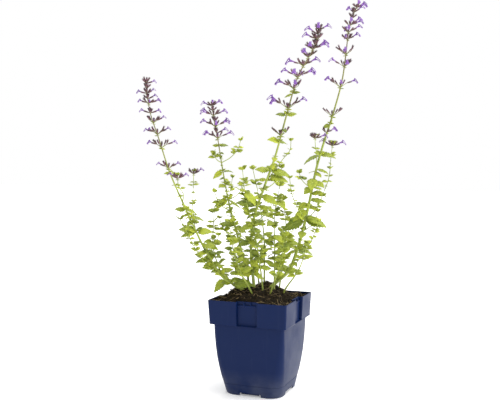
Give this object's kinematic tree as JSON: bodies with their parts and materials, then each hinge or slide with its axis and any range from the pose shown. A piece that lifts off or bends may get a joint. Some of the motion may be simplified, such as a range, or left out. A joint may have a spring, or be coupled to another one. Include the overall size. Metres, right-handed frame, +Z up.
{
  "type": "catmint plant",
  "caption": "Catmint plant in a square nursery pot: upright lilac flower spikes over leafy shoots with small toothed leaves.",
  "frame": {"origin": "middle of the pot's foot, on the ground plane", "axes": "+Z up, and the pot's front side faces -Y; the shoots lean out mostly along X"},
  "size_m": [0.2159, 0.1671, 0.4463],
  "materials": {
    "pot_plastic": "satin",
    "soil": "matte",
    "leaf_green": "matte"
  },
  "bodies": {
    "root": {"pot": "pot_plastic", "soil": "soil", "flowering_stem_left": "leaf_green", "flowering_stem_middle_left": "leaf_green", "flowering_stem_middle": "leaf_green", "flowering_stem_right": "leaf_green", "leafy_shoot_front": "leaf_green", "leafy_shoot_centre": "leaf_green", "leafy_shoot_centre_right": "leaf_green", "leafy_shoot_right": "leaf_green", "leafy_shoot_left": "leaf_green", "leafy_shoot_back": "leaf_green", "leafy_shoot_back_right": "leaf_green", "leafy_shoot_back_left": "leaf_green", "leafy_shoot_front_right": "leaf_green", "leafy_shoot_front_left": "leaf_green", "leafy_shoot_far_right": "leaf_green"}
  },
  "joints": []
}
